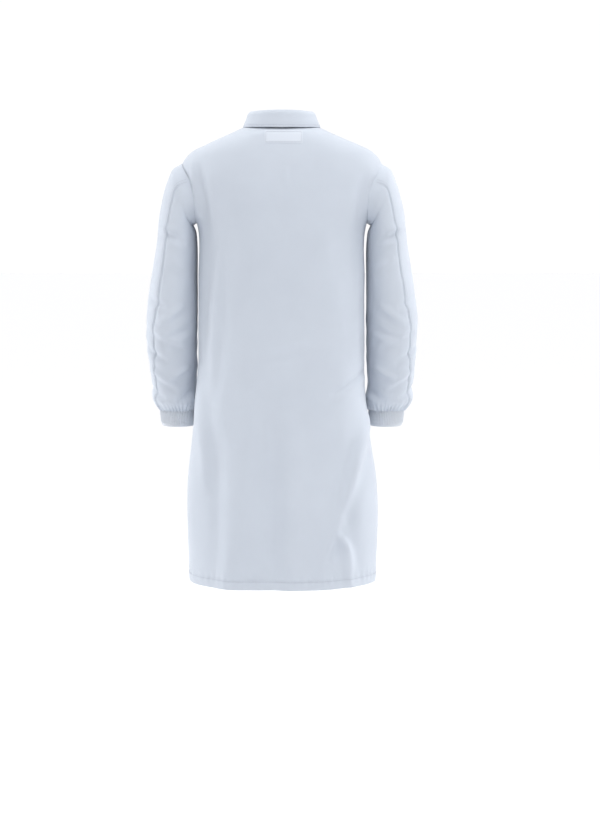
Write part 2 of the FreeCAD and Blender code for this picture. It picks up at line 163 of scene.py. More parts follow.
# Folds on the left arm: turn round the arm and height at both ends, half width and rise.
ARM_FOLDS = (
    (-0.10, -0.235, 1.30, -0.215, 0.010, 0.0046),
    (-0.55, -0.262, 0.60, -0.232, 0.009, -0.0042),
    (-0.90, -0.330, 0.30, -0.290, 0.012, 0.0035),
    (0.20, -0.405, 1.40, -0.375, 0.009, -0.0042),
    (-0.60, -0.398, 0.55, -0.440, 0.010, 0.0049),
    (-0.95, -0.450, 0.35, -0.474, 0.009, -0.0046),
    (-0.70, -0.492, 0.95, -0.446, 0.009, 0.0042),
    (0.10, -0.530, 1.60, -0.486, 0.008, -0.0046),
    (-0.85, -0.540, 0.20, -0.566, 0.008, 0.0049),
    (-0.30, -0.590, 1.10, -0.540, 0.008, 0.0046),
    (0.35, -0.612, 1.80, -0.586, 0.007, -0.0046),
    (-1.10, -0.596, -0.10, -0.618, 0.008, -0.0046),
    (2.20, -0.330, 3.60, -0.400, 0.011, 0.0053),
    (2.30, -0.430, 3.90, -0.452, 0.009, -0.0079),
    (2.10, -0.470, 3.60, -0.440, 0.009, 0.0061),
    (2.40, -0.520, 3.90, -0.560, 0.009, 0.0049),
    (2.00, -0.585, 3.40, -0.560, 0.009, -0.0042),
)
# The rear seam of the sleeve: height and turn round the arm.
SEAM_LEVELS = (-0.640, -0.600, -0.530, -0.440, -0.395, -0.280, -0.140)
SEAM_TURNS = (0.95, 0.90, 0.77, 0.72, 0.57, 0.47, 0.42)


class CoatSizes(bpy.types.PropertyGroup):
    cloth: FloatProperty(name="Cloth", description="Thickness of the twill",
                         default=0.0008, min=0.0003, max=0.002, unit="LENGTH")
    hem: FloatProperty(name="Hem", description="Depth of the turned hem",
                       default=0.021, min=0.01, max=0.04, unit="LENGTH")
    pucker: FloatProperty(name="Pucker", description="Rise of the puckers along the hem",
                          default=0.0009, min=0.0, max=0.003, unit="LENGTH")
    stitch: FloatProperty(name="Stitch", description="Length from one stitch to the next",
                          default=0.0032, min=0.002, max=0.006, unit="LENGTH")
    thread: FloatProperty(name="Thread", description="Radius of the sewing thread",
                          default=0.00028, min=0.0001, max=0.001, unit="LENGTH")
    ribs: IntProperty(name="Ribs", description="Ribs of knit round each cuff",
                      default=64, min=30, max=120)
    rib_rise: FloatProperty(name="Rib rise", description="Height of each rib of the cuff",
                            default=0.0007, min=0.0, max=0.002, unit="LENGTH")
    slack: FloatProperty(name="Slack", description="How far the skirt of the coat waves at its hem",
                         default=0.0065, min=0.0, max=0.02, unit="LENGTH")


class CoatColours(bpy.types.PropertyGroup):
    twill: FloatVectorProperty(name="Twill", description="Colour of the coat cloth", subtype="COLOR",
                               default=(0.615, 0.664, 0.740), min=0, max=1)
    shade: FloatVectorProperty(name="Worn twill", description="Colour of the cloth where it varies",
                               subtype="COLOR", default=(0.590, 0.638, 0.714), min=0, max=1)
    knit: FloatVectorProperty(name="Knit", description="Colour of the rib knit", subtype="COLOR",
                              default=(0.66, 0.70, 0.76), min=0, max=1)
    label: FloatVectorProperty(name="Label", description="Colour of the woven label", subtype="COLOR",
                               default=(0.665, 0.71, 0.785), min=0, max=1)
    # The thread is real, but it is coloured darker than the cloth as painted shade along the stitch lines.
    thread: FloatVectorProperty(name="Thread", description="Colour of the sewing thread",
                                subtype="COLOR", default=(0.42, 0.45, 0.52), min=0, max=1)
    floor: FloatVectorProperty(name="Floor", description="Colour of the studio floor", subtype="COLOR",
                               default=(0.93, 0.93, 0.94), min=0, max=1)


class StageSizes(bpy.types.PropertyGroup):
    floor_level: FloatProperty(name="Floor level", description="Height of the floor under the neck",
                               default=-1.57, unit="LENGTH")
    camera_back: FloatProperty(name="Camera distance", description="Distance of the camera behind the coat",
                               default=5.3, unit="LENGTH")
    aim_x: FloatProperty(name="Aim across", description="Place across that the camera faces",
                         default=-0.041, unit="LENGTH")
    aim_z: FloatProperty(name="Aim height", description="Height that the camera faces",
                         default=-0.6619, unit="LENGTH")
    lens: FloatProperty(name="Lens", description="Focal length in millimetres", default=100.9)


def sizes():
    """The coat's sizes in the open scene."""
    return bpy.context.scene.coat_sizes


def colours():
    """The coat's colours in the open scene."""
    return bpy.context.scene.coat_colours


# ---------------------------------------------------------------- shapes of cloth

def smooth(value):
    """A ramp from 0 to 1 that starts and ends gently."""
    ramp = np.clip(value, 0.0, 1.0)
    return ramp * ramp * (3 - 2 * ramp)


def body_ring(station, turns, square=2.0):
    """Points of one ring round the body or the collar at the given turns from the wearer's left."""
    width, back_y, back_z, front_y, front_z, side_z = station
    middle, depth = (back_y + front_y) / 2, (back_y - front_y) / 2
    cosine, sine = np.cos(turns), np.sin(turns)
    power = 2 / square
    across = width * np.sign(cosine) * np.abs(cosine) ** power
    along = middle + depth * np.sign(sine) * np.abs(sine) ** power
    height = side_z + np.where(sine > 0, (back_z - side_z) * np.abs(sine) ** 1.6,
                               (front_z - side_z) * np.abs(sine) ** 1.6)
    return np.stack([across, along, height], axis=-1)


def arm_ring(station, turns):
    """Points of one ring round the left arm; a turn of 0 is its back, a quarter turn its outside."""
    in_x, in_z, out_x, out_z, middle, depth = station
    centre = np.array([(in_x + out_x) / 2, middle, (in_z + out_z) / 2])
    outward = np.array([(out_x - in_x) / 2, 0.0, (out_z - in_z) / 2])
    back = np.array([0.0, depth, 0.0])
    return centre + np.cos(turns)[:, None] * back + np.sin(turns)[:, None] * outward


def skin(keys, rows):
    """Rows of points on a smooth surface through key rings, and each row's place along the keys."""
    keys = np.asarray(keys)
    steps = np.linalg.norm(np.diff(keys, axis=0), axis=2).mean(axis=1)
    places = np.concatenate([[0.0], np.cumsum(steps)])
    slopes = np.gradient(keys, places, axis=0)
    spots = np.linspace(0, places[-1], rows)
    index = np.clip(np.searchsorted(places, spots, side="right") - 1, 0, len(places) - 2)
    span = (places[index + 1] - places[index])[:, None, None]
    t = ((spots - places[index])[:, None, None]) / span
    start, end = keys[index], keys[index + 1]
    leave, arrive = slopes[index] * span, slopes[index + 1] * span
    grid = ((2 * t ** 3 - 3 * t ** 2 + 1) * start + (t ** 3 - 2 * t ** 2 + t) * leave
            + (-2 * t ** 3 + 3 * t ** 2) * end + (t ** 3 - t ** 2) * arrive)
    return grid, spots


def grid_normals(grid, closed):
    """Directions square to the cloth at each point of a grid."""
    if closed:
        wide = np.concatenate([grid[:, -1:], grid, grid[:, :1]], axis=1)
        across = np.gradient(wide, axis=1)[:, 1:-1]
    else:
        across = np.gradient(grid, axis=1)
    down = np.gradient(grid, axis=0)
    normal = np.cross(across, down)
    normal /= np.maximum(np.linalg.norm(normal, axis=2, keepdims=True), 1e-12)
    return normal


def fold(px, pz, spec):
    """The rise of one fold over a plane: a ridge with a hollow beside it, fading at both ends."""
    x0, z0, x1, z1, width, rise = spec
    dx, dz = x1 - x0, z1 - z0
    length = math.hypot(dx, dz)
    along = ((px - x0) * dx + (pz - z0) * dz) / length ** 2
    across = ((px - x0) * dz - (pz - z0) * dx) / length + 0.12 * width * np.sin(along * 7.0)
    fade = np.clip(1 - (2 * along - 1) ** 2, 0, 1) ** 0.75
    ridge = np.exp(-(across / width) ** 2)
    hollow = np.exp(-((across - 1.5 * width) / (1.2 * width)) ** 2)
    return rise * fade * (ridge - 0.45 * hollow)


def ripple(grid, scale, seed):
    """Smooth unevenness between about -1 and 1 at each point of a grid."""
    spots = (grid * scale + seed).reshape(-1, 3)
    values = np.fromiter((noise.noise(spot) for spot in map(Vector, spots)), float, len(spots))
    return values.reshape(grid.shape[:2])


def body_rise(grid, seed):
    """How far the body cloth stands off its plain shape."""
    x, y, z = grid[..., 0], grid[..., 1], grid[..., 2]
    behind = smooth((y + 0.01) / 0.05)
    rise = sum(fold(x, z, spec) for spec in BACK_FOLDS) * behind
    rise = rise + sum(fold(x, z, spec) for spec in FRONT_FOLDS) * (1 - behind)
    turn = np.arctan2(y, x)
    low = smooth((-0.55 - z) / 0.5)
    calm = smooth((np.abs(x) - 0.02) / 0.05) + behind
    waves = 0.6 * np.cos(6 * turn + 0.7) + 0.4 * np.cos(9 * turn - 1.1) + 0.35 * np.cos(14 * turn + z * 5)
    rise = rise + sizes().slack * low * np.clip(calm, 0, 1) * waves * 0.6
    rise = rise + 0.0022 * ripple(grid, np.array([9.0, 9.0, 4.0]), seed) * np.clip(calm, 0, 1)
    rise = rise + 0.0006 * ripple(grid, np.array([30.0, 30.0, 15.0]), seed + 3) * np.clip(calm, 0, 1)
    near_neck = smooth((-0.01 - z) / 0.04)
    return rise * near_neck + hem_rise(z, turn)


def hem_rise(z, turn):
    """The step and the puckers of the turned hem."""
    depth = sizes().hem
    above = z - HEM_LEVEL
    band = smooth((depth - above) / 0.0015)
    line = np.exp(-((above - depth) / 0.0016) ** 2)
    pucker = np.sin(turn * 62 + 2.2 * np.sin(turn * 9)) * np.exp(-((above - depth) / 0.012) ** 2)
    return 0.0008 * band - 0.0014 * line + sizes().pucker * pucker


def stretch_map(grid):
    """Distances along both ways of a grid, in metres, for a pattern that follows the cloth."""
    across = np.linalg.norm(np.diff(grid, axis=1), axis=2)
    down = np.linalg.norm(np.diff(grid, axis=0), axis=2)
    u = np.concatenate([np.zeros((grid.shape[0], 1)), np.cumsum(across, axis=1)], axis=1)
    v = np.concatenate([np.zeros((1, grid.shape[1])), np.cumsum(down, axis=0)], axis=0)
    return np.stack([u - u[:, [u.shape[1] // 2]], -v.mean(axis=1, keepdims=True) + 0 * u], axis=-1)


def cloth(name, grid, closed=False, keep=None, turn_over=False, material=None):
    """A mesh piece from a grid of points; keep says which faces stay."""
    rows, columns = grid.shape[:2]
    laid = np.concatenate([grid, grid[:, :1]], axis=1) if closed else grid
    flat_map = stretch_map(laid)
    faces, spots = [], []
    wide = columns + 1 if closed else columns
    for row in range(rows - 1):
        for column in range(wide - 1):
            if keep is not None and not keep[row, column]:
                continue
            beside = (column + 1) % columns if closed else column + 1
            quad = [row * columns + column, (row + 1) * columns + column,
                    (row + 1) * columns + beside, row * columns + beside]
            corner = [(row, column), (row + 1, column), (row + 1, column + 1), (row, column + 1)]
            if turn_over:
                quad.reverse()
                corner.reverse()
            faces.append(quad)
            spots.extend(flat_map[place] for place in corner)
    mesh = bpy.data.meshes.new(name)
    mesh.from_pydata(grid.reshape(-1, 3).tolist(), [], faces)
    layer = mesh.uv_layers.new(name="cloth")
    layer.data.foreach_set("uv", np.asarray(spots, dtype=np.float32).ravel())
    piece = bpy.data.objects.new(name, mesh)
    bpy.context.collection.objects.link(piece)
    if material is not None:
        mesh.materials.append(material)
    return piece


def select_only(piece):
    """Make a piece the only one selected, and the active one."""
    bpy.ops.object.select_all(action="DESELECT")
    bpy.context.view_layer.objects.active = piece
    piece.select_set(True)


def thicken(piece, thickness, offset=-1.0):
    """Give cloth its thickness, drop loose points and shade it smooth except at its cut edges."""
    select_only(piece)
    bpy.ops.object.mode_set(mode="EDIT")
    bpy.ops.mesh.select_all(action="SELECT")
    bpy.ops.mesh.delete_loose(use_verts=True, use_edges=True, use_faces=False)
    bpy.ops.object.mode_set(mode="OBJECT")
    solid = piece.modifiers.new("Thickness", "SOLIDIFY")
    solid.thickness = thickness
    solid.offset = offset
    bpy.ops.object.modifier_apply(modifier=solid.name)
    bpy.ops.object.shade_smooth_by_angle(angle=math.radians(50))
    piece.select_set(False)
    return piece


def surface_of(piece):
    """A tree that finds where a straight line meets a piece."""
    mesh = piece.data
    return BVHTree.FromPolygons([v.co.copy() for v in mesh.vertices],
                                [tuple(p.vertices) for p in mesh.polygons])


def patch(tree, xs, zs, from_back, lift):
    """A grid of points laid on a surface from behind or in front, lifted off it."""
    way = -1.0 if from_back else 1.0
    points = np.zeros((len(zs), len(xs), 3))
    for row, z in enumerate(zs):
        for column, x in enumerate(xs):
            hit = tree.ray_cast(Vector((x, -way, z)), Vector((0, way, 0)))[0]
            if hit is None:
                raise RuntimeError("no cloth under a patch at %.3f, %.3f" % (x, z))
            points[row, column] = (x, hit.y, z)
    points[..., 1] -= way * lift
    return points


# ---------------------------------------------------------------- baking pieces in place

def set_weights(piece):
    """Bake a piece's place into its points."""
    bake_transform(piece)
    return piece


def mesh_points(piece):
    """The places of all of a piece's points."""
    points = np.empty(len(piece.data.vertices) * 3)
    piece.data.vertices.foreach_get("co", points)
    return points.reshape(-1, 3)


def open_with_skirt(piece):
    """Bake the place of a front piece into its points."""
    points = mesh_points(piece)
    return set_weights(piece)


def bend_with_shoulder(piece):
    """Bake the place of an upper sleeve piece into its points."""
    points = mesh_points(piece)
    return set_weights(piece)


def bend_with_elbow(piece):
    """Work out how far each point lies down the elbow ramp, and bake the piece's place into its points."""
    weights = smooth((ELBOW_TOP - mesh_points(piece)[:, 2]) / ELBOW_LENGTH)
    return set_weights(piece)


# ---------------------------------------------------------------- materials

def link(tree, source, target):
    """Join two sockets of a node tree."""
    tree.links.new(source, target)


def node_group(name, make):
    """A shader node group, built once."""
    group = bpy.data.node_groups.get(name)
    if group is None:
        group = bpy.data.node_groups.new(name, "ShaderNodeTree")
        make(group)
    return group


def make_weave(group):
    """Fine ribs on the slant, as in twill: takes the scale of the threads, gives their height."""
    group.interface.new_socket("Threads", in_out="INPUT", socket_type="NodeSocketFloat")
    group.interface.new_socket("Height", in_out="OUTPUT", socket_type="NodeSocketFloat")
    nodes = group.nodes
    inward, outward = nodes.new("NodeGroupInput"), nodes.new("NodeGroupOutput")
    where = nodes.new("ShaderNodeTexCoord")
    turn = nodes.new("ShaderNodeMapping")
    turn.inputs["Rotation"].default_value = (0, 0, math.radians(63))
    ribs = nodes.new("ShaderNodeTexWave")
    ribs.inputs["Distortion"].default_value = 0.6
    ribs.inputs["Detail"].default_value = 1.0
    yarn = nodes.new("ShaderNodeTexNoise")
    yarn.inputs["Detail"].default_value = 2.0
    finer = nodes.new("ShaderNodeMath")
    finer.operation = "MULTIPLY"
    finer.inputs[1].default_value = 3.0
    total = nodes.new("ShaderNodeMath")
    total.operation = "MULTIPLY_ADD"
    total.inputs[1].default_value = 0.7
    link(group, where.outputs["UV"], turn.inputs["Vector"])
    link(group, turn.outputs["Vector"], ribs.inputs["Vector"])
    link(group, where.outputs["UV"], yarn.inputs["Vector"])
    link(group, inward.outputs["Threads"], ribs.inputs["Scale"])
    link(group, inward.outputs["Threads"], finer.inputs[0])
    link(group, finer.outputs[0], yarn.inputs["Scale"])
    link(group, ribs.outputs["Fac"], total.inputs[0])
    link(group, yarn.outputs["Fac"], total.inputs[2])
    link(group, total.outputs[0], outward.inputs["Height"])


def make_wear(group):
    """Soft clouds over the cloth, as washing leaves: takes a scale, gives a mask."""
    group.interface.new_socket("Scale", in_out="INPUT", socket_type="NodeSocketFloat")
    group.interface.new_socket("Mask", in_out="OUTPUT", socket_type="NodeSocketFloat")
    nodes = group.nodes
    inward, outward = nodes.new("NodeGroupInput"), nodes.new("NodeGroupOutput")
    where = nodes.new("ShaderNodeTexCoord")
    cloud = nodes.new("ShaderNodeTexNoise")
    cloud.inputs["Detail"].default_value = 4.0
    cloud.inputs["Roughness"].default_value = 0.6
    ramp = nodes.new("ShaderNodeMapRange")
    ramp.inputs["From Min"].default_value = 0.35
    ramp.inputs["From Max"].default_value = 0.70
    link(group, where.outputs["Object"], cloud.inputs["Vector"])
    link(group, inward.outputs["Scale"], cloud.inputs["Scale"])
    link(group, cloud.outputs["Fac"], ramp.inputs["Value"])
    link(group, ramp.outputs["Result"], outward.inputs["Mask"])


def cloth_material(name, main, other, threads, depth, sheen=0.25, roughness=0.82):
    """A woven or knitted cloth: thread relief, soft clouds of tone and a light nap."""
    found = bpy.data.materials.get(name)
    if found is not None:
        return found
    material = bpy.data.materials.new(name)
    material.use_nodes = True
    tree = material.node_tree
    shader = tree.nodes["Principled BSDF"]
    shader.inputs["Sheen Weight"].default_value = sheen
    shader.inputs["Sheen Roughness"].default_value = 0.4
    shader.inputs["Specular IOR Level"].default_value = 0.25
    weave = tree.nodes.new("ShaderNodeGroup")
    weave.node_tree = node_group("Weave", make_weave)
    weave.inputs["Threads"].default_value = threads
    wear = tree.nodes.new("ShaderNodeGroup")
    wear.node_tree = node_group("Wash wear", make_wear)
    wear.inputs["Scale"].default_value = 7.0
    tone = tree.nodes.new("ShaderNodeMix")
    tone.data_type = "RGBA"
    tone.inputs["A"].default_value = (*main, 1)
    tone.inputs["B"].default_value = (*other, 1)
    rough = tree.nodes.new("ShaderNodeMapRange")
    rough.inputs["To Min"].default_value = roughness - 0.06
    rough.inputs["To Max"].default_value = roughness + 0.08
    bump = tree.nodes.new("ShaderNodeBump")
    bump.inputs["Distance"].default_value = depth
    bump.inputs["Strength"].default_value = 0.5
    link(tree, wear.outputs["Mask"], tone.inputs["Factor"])
    link(tree, tone.outputs["Result"], shader.inputs["Base Color"])
    link(tree, weave.outputs["Height"], rough.inputs["Value"])
    link(tree, rough.outputs["Result"], shader.inputs["Roughness"])
    link(tree, weave.outputs["Height"], bump.inputs["Height"])
    link(tree, bump.outputs["Normal"], shader.inputs["Normal"])
    return material


def twill():
    """The coat's cloth."""
    return cloth_material("coat_twill", colours().twill, colours().shade, 900.0, 0.0002)


def knit():
    """The cuffs' rib knit."""
    darker = tuple(0.93 * part for part in colours().knit)
    return cloth_material("rib_knit", colours().knit, darker, 420.0, 0.0004, sheen=0.4, roughness=0.9)


def woven_label():
    """The label and the tape."""
    darker = tuple(0.96 * part for part in colours().label)
    return cloth_material("woven_label", colours().label, darker, 1500.0, 0.0001, sheen=0.1, roughness=0.6)


def thread_with_painted_shade():
    """The thread of the topstitching, coloured darker than the cloth as painted shade along the stitch lines.
    """
    darker = tuple(0.9 * part for part in colours().thread)
    return cloth_material("thread_with_painted_shade", colours().thread, darker, 2500.0, 0.0001, 0.2, 0.7)


def snap_material(name, colour, metal, roughness):
    """Enamel or plated metal with fine scuffs."""
    found = bpy.data.materials.get(name)
    if found is not None:
        return found
    material = bpy.data.materials.new(name)
    material.use_nodes = True
    tree = material.node_tree
    shader = tree.nodes["Principled BSDF"]
    shader.inputs["Metallic"].default_value = metal
    wear = tree.nodes.new("ShaderNodeGroup")
    wear.node_tree = node_group("Wash wear", make_wear)
    wear.inputs["Scale"].default_value = 400.0
    tone = tree.nodes.new("ShaderNodeMix")
    tone.data_type = "RGBA"
    tone.inputs["A"].default_value = (*colour, 1)
    tone.inputs["B"].default_value = (*(0.85 * part for part in colour), 1)
    rough = tree.nodes.new("ShaderNodeMapRange")
    rough.inputs["To Min"].default_value = roughness
    rough.inputs["To Max"].default_value = roughness + 0.15
    link(tree, wear.outputs["Mask"], tone.inputs["Factor"])
    link(tree, tone.outputs["Result"], shader.inputs["Base Color"])
    link(tree, wear.outputs["Mask"], rough.inputs["Value"])
    link(tree, rough.outputs["Result"], shader.inputs["Roughness"])
    return material


# ---------------------------------------------------------------- stitches

def stitches(name, path, outward):
    """A row of short raised threads along a path of points."""
    path, outward = np.asarray(path), np.asarray(outward)
    steps = np.linalg.norm(np.diff(path, axis=0), axis=1)
    places = np.concatenate([[0.0], np.cumsum(steps)])
    pitch, radius = sizes().stitch, sizes().thread
    starts = np.arange(0.3 * pitch, places[-1] - pitch, pitch)
    points, faces = [], []

    def at(values, place):
        return np.array([np.interp(place, places, values[:, k]) for k in range(3)])

    for start in starts:
        head, tail = at(path, start), at(path, start + 0.72 * pitch)
        up = at(outward, start)
        up /= np.linalg.norm(up)
        side = np.cross(tail - head, up)
        side /= max(np.linalg.norm(side), 1e-9)
        base = len(points)
        for t, swell in ((0.0, 0.35), (0.25, 1.0), (0.75, 1.0), (1.0, 0.35)):
            middle = head + (tail - head) * t + up * radius * (1.4 * swell - 0.5)
            for way in (side, up, -side, -up):
                points.append(middle + way * radius * swell)
        for ring in range(3):
            for k in range(4):
                low = base + 4 * ring
                faces.append((low + k, low + (k + 1) % 4, low + 4 + (k + 1) % 4, low + 4 + k))
        faces.append((base + 3, base + 2, base + 1, base))
        faces.append((base + 12, base + 13, base + 14, base + 15))
    mesh = bpy.data.meshes.new(name)
    mesh.from_pydata([tuple(point) for point in points], [], faces)
    # The thread is coloured darker than the cloth: painted shade along the stitch line.
    mesh.materials.append(thread_with_painted_shade())
    layer = mesh.uv_layers.new(name="cloth")
    for loop in mesh.loops:
        spot = mesh.vertices[loop.vertex_index].co
        layer.data[loop.index].uv = (spot.x + spot.y, spot.z)
    piece = bpy.data.objects.new(name, mesh)
    bpy.context.collection.objects.link(piece)
    select_only(piece)
    bpy.ops.object.mode_set(mode="EDIT")
    bpy.ops.mesh.select_all(action="SELECT")
    bpy.ops.mesh.normals_make_consistent(inside=False)
    bpy.ops.object.mode_set(mode="OBJECT")
    bpy.ops.object.shade_smooth()
    piece.select_set(False)
    return piece


def stitched(name, path, outward):
    """A row of stitches that stays with the coat's body."""
    piece = stitches(name, path, outward)
    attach(piece, "root")
    return piece


# ---------------------------------------------------------------- body cloth

made = {}


def body_turn(station, across, square):
    """The turn at which a ring is a given distance across, in front."""
    share = np.clip(abs(across) / station[0], 0, 1) ** (square / 2)
    turn = math.acos(share)
    return -turn if across >= 0 else -(math.pi - turn)


def squareness(station):
    """Rings lower down are a little squarer than an ellipse."""
    return 2.0 + 0.3 * float(smooth((-station[2] - 0.03) / 0.15))


def outside_armholes(grid):
    """Faces that stay when the armholes are cut out of the body cloth."""
    middle = (grid[:-1, :-1] + grid[1:, 1:]) / 2
    x, y, z = middle[..., 0], middle[..., 1], middle[..., 2]
    inside = ((y - ARMHOLE_Y) / HOLE_DEPTH) ** 2 + ((z - ARMHOLE_Z) / HOLE_HEIGHT) ** 2 < 1
    return ~(inside & (np.abs(x) > HOLE_FROM_X))


def body_panel(turns_of, rows, extra=None):
    """One panel of the coat's body between two turns of every ring."""
    keys = [body_ring(s, turns_of(s), squareness(s)) for s in BODY_RINGS]
    plain, _ = skin(keys, rows)
    normal = grid_normals(plain, closed=False)
    centre = np.array([0.0, 0.01, 0.0])
    if ((plain - centre) * normal)[..., :2].sum() < 0:
        normal = -normal
    rise = body_rise(plain, BODY_SEED)
    if extra is not None:
        rise = rise + extra(plain)
    grid = plain + normal * rise[..., None]
    grid[-1, :, 2] = plain[-1, :, 2]
    return grid, normal


class COAT_OT_back(bpy.types.Operator):
    """The back panel, from the neck seam to the hem"""
    bl_idname = "coat.back"
    bl_label = "Back panel"

    def execute(self, context):
        columns, rows = 150, 290
        grid, normal = body_panel(lambda s: np.linspace(0, math.pi, columns), rows)
        piece = cloth("coat_back", grid, keep=outside_armholes(grid), material=twill())
        made["back"] = surface_of(piece)
        made["back_grid"], made["back_normal"] = grid, normal
        thicken(piece, sizes().cloth)
        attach(piece, "root")
        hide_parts("back_panel")
        return {"FINISHED"}


def front_extra(side):
    """How the two fronts lie at the opening: the left over the right, lifted below the waist."""
    def rise(grid):
        x, y, z = side * grid[..., 0], grid[..., 1], grid[..., 2]
        front = smooth((-0.02 - y) / 0.05)
        if side > 0:
            return front * 0.0015 * smooth((FOLD_TOP - z) / 0.09) * smooth((0.15 - x) / 0.02)
        return -0.0021 * front * smooth((0.034 - x) / 0.014)
    return rise


class COAT_OT_fronts(bpy.types.Operator):
    """Both front panels, from the side seams to the overlap at the middle"""
    bl_idname = "coat.fronts"
    bl_label = "Front panels"

    def execute(self, context):
        columns, rows = 90, 290
        for word, side in (("left", 1), ("right", -1)):
            def turns_of(station, side=side):
                end = body_turn(station, -side * FRONT_EDGE, squareness(station))
                start = 0.0 if side > 0 else -math.pi
                return np.linspace(start, end, columns)
            grid, normal = body_panel(turns_of, rows, front_extra(side))
            piece = cloth(word + "_coat_front", grid, keep=outside_armholes(grid),
                          turn_over=side > 0, material=twill())
            made[word + "_front"] = surface_of(piece)
            made[word + "_grid"], made[word + "_normal"] = grid, normal
            thicken(piece, sizes().cloth)
            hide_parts(word + "_front_panel", word + "_front_skirt")
            open_with_skirt(piece)
        return {"FINISHED"}


class COAT_OT_front_bands(bpy.types.Operator):
    """The folded bands down the opening, which carry the snaps, and the facings behind them"""
    bl_idname = "coat.front_bands"
    bl_label = "Front bands"

    def execute(self, context):
        levels = np.linspace(OPENING_TOP, HEM_LEVEL + 0.001, 260)
        bands = (
            ("left_snap_band", "left_front", -BAND_HALF, BAND_HALF, 0.0014, 1, BAND_CLOTH,
             ("left_placket", "left_skirt_placket")),
            ("right_snap_band", "right_front", -BAND_HALF, BAND_HALF, -0.0009, -1, BAND_CLOTH,
             ("right_placket", "right_skirt_placket")),
            ("left_facing", "left_front", FACING_EDGE, FACING_END, -0.0009, 1, FACING_CLOTH,
             ("left_front_facing",)),
            ("right_facing", "right_front", -FACING_END, -FACING_EDGE, -0.0009, -1, FACING_CLOTH,
             ("right_front_facing",)),
        )
        for name, under, low, high, lift, side, thickness, nodes in bands:
            xs = np.linspace(low, high, 15)
            grid = patch(made[under], xs, levels, False, lift)
            grid[..., 1] -= 0.0003 * np.sin(grid[..., 2] * 180) * (lift > 0)
            piece = cloth(name, grid, turn_over=False, material=twill())
            thicken(piece, thickness)
            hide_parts(*nodes)
            open_with_skirt(piece)
        outward = np.tile([0.0, -1.0, 0.0], (len(levels), 1))
        for number, x in enumerate((-BAND_STITCH, BAND_STITCH)):
            path = patch(made["left_front"], np.array([x]), levels, False, 0.0016)[:, 0]
            piece = stitches("band_stitches_%d" % number, path, outward)
            open_with_skirt(piece)
        return {"FINISHED"}


class COAT_OT_hems(bpy.types.Operator):
    """The turned-up hem inside, and the row of stitches that holds it"""
    bl_idname = "coat.hems"
    bl_label = "Hems"

    def execute(self, context):
        depth = sizes().hem
        for word, nodes in (("back", ("back_hem",)), ("left", ("left_skirt_hem",)),
                            ("right", ("right_skirt_hem",))):
            grid, normal = made[word + "_grid"], made[word + "_normal"]
            side = {"back": 0, "left": 1, "right": -1}[word]
            low = grid[:, 0, 2] < HEM_LEVEL + depth + 0.0005
            inner = grid[low] - normal[low] * (sizes().cloth + 0.0006)
            inner[-1, :, 2] += 0.0008
            piece = cloth(word + "_hem_turning", inner, turn_over=side > 0, material=twill())
            thicken(piece, FACING_CLOTH)
            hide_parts(*nodes)
            row = int(np.argmin(np.abs(grid[:, 0, 2] - HEM_LEVEL - depth + 0.0016)))
            thread = stitches(word + "_hem_stitches", grid[row] + normal[row] * 0.0001, normal[row])
            if side:
                open_with_skirt(piece)
                open_with_skirt(thread)
            else:
                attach(piece, "root")
                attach(thread, "root")
        return {"FINISHED"}


# ---------------------------------------------------------------- collar and neck

class COAT_OT_collar(bpy.types.Operator):
    """The collar, which stands at the neck seam, rolls over and lies down outside it"""
    bl_idname = "coat.collar"
    bl_label = "Collar"

    def execute(self, context):
        columns, gap = 200, 0.13
        turns = np.linspace(-math.pi / 2 + gap, 1.5 * math.pi - gap, columns)
        keys = [body_ring(station, turns) for station in COLLAR_RINGS]
        ends = np.exp(-((np.abs(np.linspace(-1, 1, columns)) - 1) / 0.10) ** 2)
        keys[-1][:, 2] -= 0.012 * ends
        keys[-1][:, 0] += 0.010 * ends * np.sign(keys[-1][:, 0])
        grid, spots = skin(keys, 46)
        normal = grid_normals(grid, closed=False)
        outer = spots / spots[-1]
        rise = 0.0008 * ripple(grid, np.array([22.0, 22.0, 22.0]), 2.0) * smooth((outer - 0.5) / 0.3)[:, None]
        edge = (1 - outer) * spots[-1]
        rise = rise - (0.0004 * np.exp(-((edge - 0.006) / 0.0014) ** 2))[:, None]
        grid = grid + normal * rise[..., None] * np.sign(normal[40, columns // 2, 1])
        piece = cloth("coat_collar", grid, turn_over=False, material=twill())
        if piece.data.polygons[len(piece.data.polygons) - columns // 2].normal.y < 0:
            bpy.data.objects.remove(piece)
            piece = cloth("coat_collar", grid, turn_over=True, material=twill())
        thicken(piece, COLLAR_CLOTH)
        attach(piece, "root")
        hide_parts("collar_stand", "under_collar", "upper_collar")
        row = int(np.argmin(np.abs(edge - 0.0055)))
        away = grid[row] - np.array([0.0, 0.0, -0.03])
        away[:, 2] = 0.012
        stitched("collar_stitches", grid[row] + away / np.linalg.norm(away, axis=1)[:, None] * 0.0002, away)
        return {"FINISHED"}


